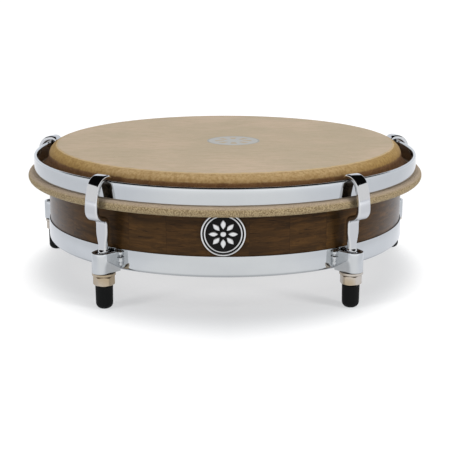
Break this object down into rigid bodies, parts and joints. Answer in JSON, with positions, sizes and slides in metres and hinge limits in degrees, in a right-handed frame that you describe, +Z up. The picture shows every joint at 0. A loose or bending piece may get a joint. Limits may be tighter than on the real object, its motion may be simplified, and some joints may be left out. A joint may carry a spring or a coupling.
{
  "type": "plena drum",
  "caption": "Shallow round wooden hand drum: skin head on a flesh hoop, chrome counterhoop pulled by hooks with threaded rods and nuts on a lower band, standing on rubber tips.",
  "frame": {"origin": "on the drum's axis, in the plane that the five rubber feet stand on", "axes": "+Z up along the drum's axis, through the head; the badge on the shell faces -Y, and +X is to its right"},
  "size_m": [0.2844, 0.2897, 0.0913],
  "materials": {
    "lacquered_wood": "dark walnut stain under gloss lacquer",
    "natural_skin": "natural rawhide, matte, ochre at the crown",
    "hoop_steel": "plain steel wire",
    "chrome": "bright chrome plate",
    "nut_brass": "pale yellow plating, satin",
    "rubber": "matte black rubber",
    "enamel": "black enamel with bright metal rings"
  },
  "bodies": {
    "hoop_and_hooks": {"counterhoop": "chrome", "flesh_hoop": "hoop_steel", "tension_hook_1": "chrome", "tension_hook_2": "chrome", "tension_hook_3": "chrome", "tension_hook_4": "chrome", "tension_hook_5": "chrome", "rubber_foot_1": "rubber", "rubber_foot_2": "rubber", "rubber_foot_3": "rubber", "rubber_foot_4": "rubber", "rubber_foot_5": "rubber"},
    "shell_and_band": {"shell": "lacquered_wood", "bottom_band": "chrome", "badge": "enamel", "drum_skin": "natural_skin", "lug_bracket_1": "chrome", "lug_bracket_2": "chrome", "lug_bracket_3": "chrome", "lug_bracket_4": "chrome", "lug_bracket_5": "chrome", "washer_1": "nut_brass", "washer_2": "nut_brass", "washer_3": "nut_brass", "washer_4": "nut_brass", "washer_5": "nut_brass"},
    "nut_1": {"tuning_nut_1": "nut_brass"},
    "nut_2": {"tuning_nut_2": "nut_brass"},
    "nut_3": {"tuning_nut_3": "nut_brass"},
    "nut_4": {"tuning_nut_4": "nut_brass"},
    "nut_5": {"tuning_nut_5": "nut_brass"}
  },
  "joints": [
    {"name": "head_stretch", "type": "slide", "parent": "hoop_and_hooks", "child": "shell_and_band", "axis": [0, 0, 1], "range_m": [0, 0.00493], "deforming": ["drum_skin"]},
    {"name": "nut_1_turn", "type": "hinge", "parent": "shell_and_band", "child": "nut_1", "pos_m": [-0.08012, -0.11027, 0.01885], "axis": [0, 0, 1], "range_deg": [0, 1260]},
    {"name": "nut_2_turn", "type": "hinge", "parent": "shell_and_band", "child": "nut_2", "pos_m": [0.08012, -0.11027, 0.01885], "axis": [0, 0, 1], "range_deg": [0, 1260]},
    {"name": "nut_3_turn", "type": "hinge", "parent": "shell_and_band", "child": "nut_3", "pos_m": [0.12963, 0.04212, 0.01885], "axis": [0, 0, 1], "range_deg": [0, 1260]},
    {"name": "nut_4_turn", "type": "hinge", "parent": "shell_and_band", "child": "nut_4", "pos_m": [0, 0.1363, 0.01885], "axis": [0, 0, 1], "range_deg": [0, 1260]},
    {"name": "nut_5_turn", "type": "hinge", "parent": "shell_and_band", "child": "nut_5", "pos_m": [-0.12963, 0.04212, 0.01885], "axis": [0, 0, 1], "range_deg": [0, 1260]}
  ],
  "couplings": [
    {"joint": "nut_1_turn", "follows": "head_stretch", "rad_per_m": 4452.6},
    {"joint": "nut_2_turn", "follows": "head_stretch", "rad_per_m": 4452.6},
    {"joint": "nut_3_turn", "follows": "head_stretch", "rad_per_m": 4452.6},
    {"joint": "nut_4_turn", "follows": "head_stretch", "rad_per_m": 4452.6},
    {"joint": "nut_5_turn", "follows": "head_stretch", "rad_per_m": 4452.6}
  ]
}
